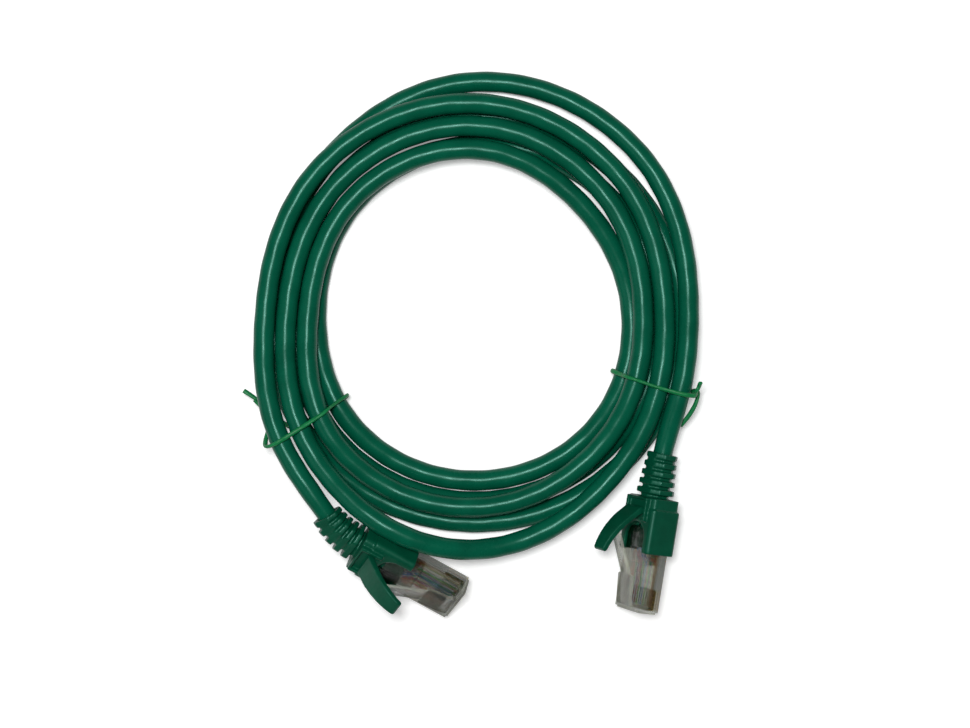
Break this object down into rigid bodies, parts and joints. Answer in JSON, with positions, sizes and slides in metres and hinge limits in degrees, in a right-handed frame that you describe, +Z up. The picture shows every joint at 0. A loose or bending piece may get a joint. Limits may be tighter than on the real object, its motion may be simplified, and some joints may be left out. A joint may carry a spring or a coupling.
{
  "type": "ethernet patch cable",
  "caption": "Green ethernet patch cable, coiled and held with twist ties, with a clear modular plug and a snagless boot at each end.",
  "frame": {"origin": "on the ground under the middle of the part's box", "axes": "+Z up, square to the lying coil; +Y across the coil, from the plugs' side to the opposite side; +X to the right as seen from above"},
  "size_m": [0.1238, 0.1476, 0.0216],
  "materials": {
    "green_jacket": "soft gloss, smooth PVC",
    "core_filler": "matt; the bundle of twisted pairs inside the jacket",
    "tie_cover": "soft gloss",
    "clear_plastic": "clear, polished; let light through in a render",
    "gold_contacts": "polished, gold flashed",
    "copper_wire": "bare copper",
    "orange_wire": "satin; one of the two wires is pale with this colour as its stripe",
    "green_wire": "satin; one of the two wires is pale with this colour as its stripe",
    "blue_wire": "satin; one of the two wires is pale with this colour as its stripe",
    "brown_wire": "satin; one of the two wires is pale with this colour as its stripe",
    "green_boot": "soft gloss, moulded"
  },
  "bodies": {
    "cord": {"coil_jacket": "green_jacket", "coil_core": "core_filler", "left_tail": "green_jacket", "right_tail": "green_jacket", "left_tail_core": "core_filler", "right_tail_core": "core_filler", "left_tie": "tie_cover", "right_tie": "tie_cover", "left_housing": "clear_plastic", "left_strain_bar": "clear_plastic", "left_contacts": "gold_contacts", "left_conductors": "copper_wire", "left_orange_pair": "orange_wire", "left_green_pair": "green_wire", "left_blue_pair": "blue_wire", "left_brown_pair": "brown_wire", "left_boot": "green_boot", "right_housing": "clear_plastic", "right_strain_bar": "clear_plastic", "right_contacts": "gold_contacts", "right_conductors": "copper_wire", "right_orange_pair": "orange_wire", "right_green_pair": "green_wire", "right_blue_pair": "blue_wire", "right_brown_pair": "brown_wire", "right_boot": "green_boot"},
    "left_latch": {"left_latch": "clear_plastic"},
    "left_lever": {"left_lever": "green_boot"},
    "right_latch": {"right_latch": "clear_plastic"},
    "right_lever": {"right_lever": "green_boot"}
  },
  "joints": [
    {"name": "left_lever_bend", "type": "hinge", "parent": "cord", "child": "left_lever", "pos_m": [-0.02798, -0.0588, 0.01467], "axis": [-0.4707, -0.6392, -0.6081], "range_deg": [-17, 0], "stiffness_Nm_per_rad": 0.05},
    {"name": "left_latch_bend", "type": "hinge", "parent": "cord", "child": "left_latch", "pos_m": [-0.00577, -0.07006, 0.00931], "axis": [-0.4707, -0.6392, -0.6081], "range_deg": [0, 9], "stiffness_Nm_per_rad": 0.05},
    {"name": "right_lever_bend", "type": "hinge", "parent": "cord", "child": "right_lever", "pos_m": [0.0439, -0.04398, 0.0109], "axis": [-0.4934, 0.0808, -0.866], "range_deg": [-17, 0], "stiffness_Nm_per_rad": 0.05},
    {"name": "right_latch_bend", "type": "hinge", "parent": "cord", "child": "right_latch", "pos_m": [0.04132, -0.06929, 0.01001], "axis": [-0.4934, 0.0808, -0.866], "range_deg": [0, 9], "stiffness_Nm_per_rad": 0.05}
  ],
  "couplings": [
    {"joint": "left_latch_bend", "follows": "left_lever_bend", "ratio": -0.529},
    {"joint": "right_latch_bend", "follows": "right_lever_bend", "ratio": -0.529}
  ]
}
